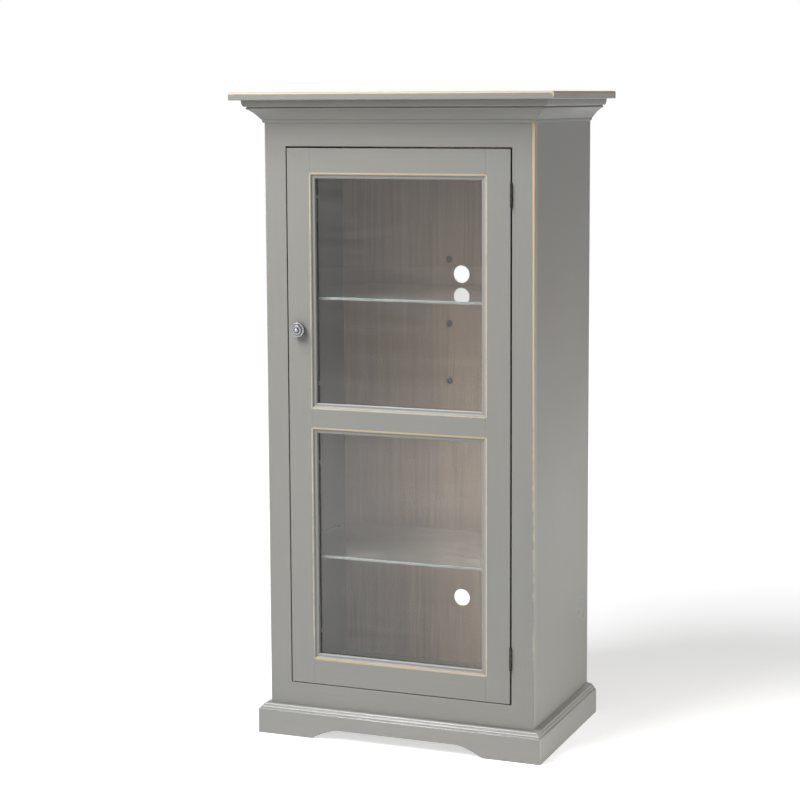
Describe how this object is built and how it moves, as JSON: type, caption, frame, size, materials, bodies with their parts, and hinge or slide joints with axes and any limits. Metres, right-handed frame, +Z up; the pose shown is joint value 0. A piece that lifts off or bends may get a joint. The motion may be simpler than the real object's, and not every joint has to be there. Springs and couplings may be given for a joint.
{
  "type": "audio cabinet",
  "caption": "Tall painted audio cabinet with a glazed hinged door, glass shelves inside, a moulded crown, an overhanging top and a bracket plinth with an arched front.",
  "frame": {"origin": "on the floor, under the middle of the top slab's outline", "axes": "+Z up, -Y towards the front with the door, +X to the right seen from the front"},
  "size_m": [0.784, 0.484, 1.5205],
  "materials": {
    "grey_paint": "worn grey paint over wood, rubbed through on the edges",
    "inside_paint": "dull brown-grey paint over wood",
    "bare_wood": "unfinished wood",
    "clear_glass": "clear float glass",
    "satin_silver": "satin turned metal",
    "aged_steel": "darkened steel",
    "bright_steel": "plain plated steel",
    "dark_rubber": "matte",
    "grey_plastic": "satin"
  },
  "bodies": {
    "cabinet": {"top_slab": "grey_paint", "crown_front": "grey_paint", "crown_left": "grey_paint", "crown_right": "grey_paint", "plinth_front": "grey_paint", "plinth_left": "grey_paint", "plinth_right": "grey_paint", "plinth_back": "bare_wood", "corner_block_left": "bare_wood", "corner_block_right": "bare_wood", "face_stile_left": "grey_paint", "face_stile_right": "grey_paint", "face_rail_bottom": "grey_paint", "face_rail_top": "grey_paint", "side_panel_left": "grey_paint", "side_panel_right": "grey_paint", "bottom_panel": "inside_paint", "top_panel": "inside_paint", "back_panel": "inside_paint", "back_plug_upper": "dark_rubber", "back_plug_middle": "dark_rubber", "back_plug_lower": "dark_rubber", "glass_shelf_upper": "clear_glass", "glass_shelf_lower": "clear_glass", "shelf_pin_upper_front_left": "bright_steel", "shelf_pin_upper_front_right": "bright_steel", "shelf_pin_upper_back_left": "bright_steel", "shelf_pin_upper_back_right": "bright_steel", "shelf_pin_lower_front_left": "bright_steel", "shelf_pin_lower_front_right": "bright_steel", "shelf_pin_lower_back_left": "bright_steel", "shelf_pin_lower_back_right": "bright_steel", "hinge_leaf_frame_upper": "aged_steel", "hinge_leaf_frame_lower": "aged_steel", "hinge_pin_upper": "aged_steel", "hinge_pin_lower": "aged_steel", "catch_body": "grey_plastic", "catch_poles": "bright_steel"},
    "door": {"door_stile_left": "grey_paint", "door_stile_right": "grey_paint", "door_rail_top": "grey_paint", "door_rail_mid": "grey_paint", "door_rail_bottom": "grey_paint", "door_glass_upper": "clear_glass", "door_glass_lower": "clear_glass", "glass_clip_upper_bottom_left": "bright_steel", "glass_clip_upper_bottom_right": "bright_steel", "glass_clip_upper_top_left": "bright_steel", "glass_clip_upper_top_right": "bright_steel", "glass_clip_lower_bottom_left": "bright_steel", "glass_clip_lower_bottom_right": "bright_steel", "glass_clip_lower_top_left": "bright_steel", "glass_clip_lower_top_right": "bright_steel", "knob": "satin_silver", "knob_screw": "bright_steel", "strike_plate": "bright_steel", "hinge_leaf_door_upper": "aged_steel", "hinge_leaf_door_lower": "aged_steel"}
  },
  "joints": [
    {"name": "door_hinge", "type": "hinge", "parent": "cabinet", "child": "door", "pos_m": [0.2744, -0.183, 0.7], "axis": [0, 0, 1], "range_deg": [0, 170]}
  ]
}
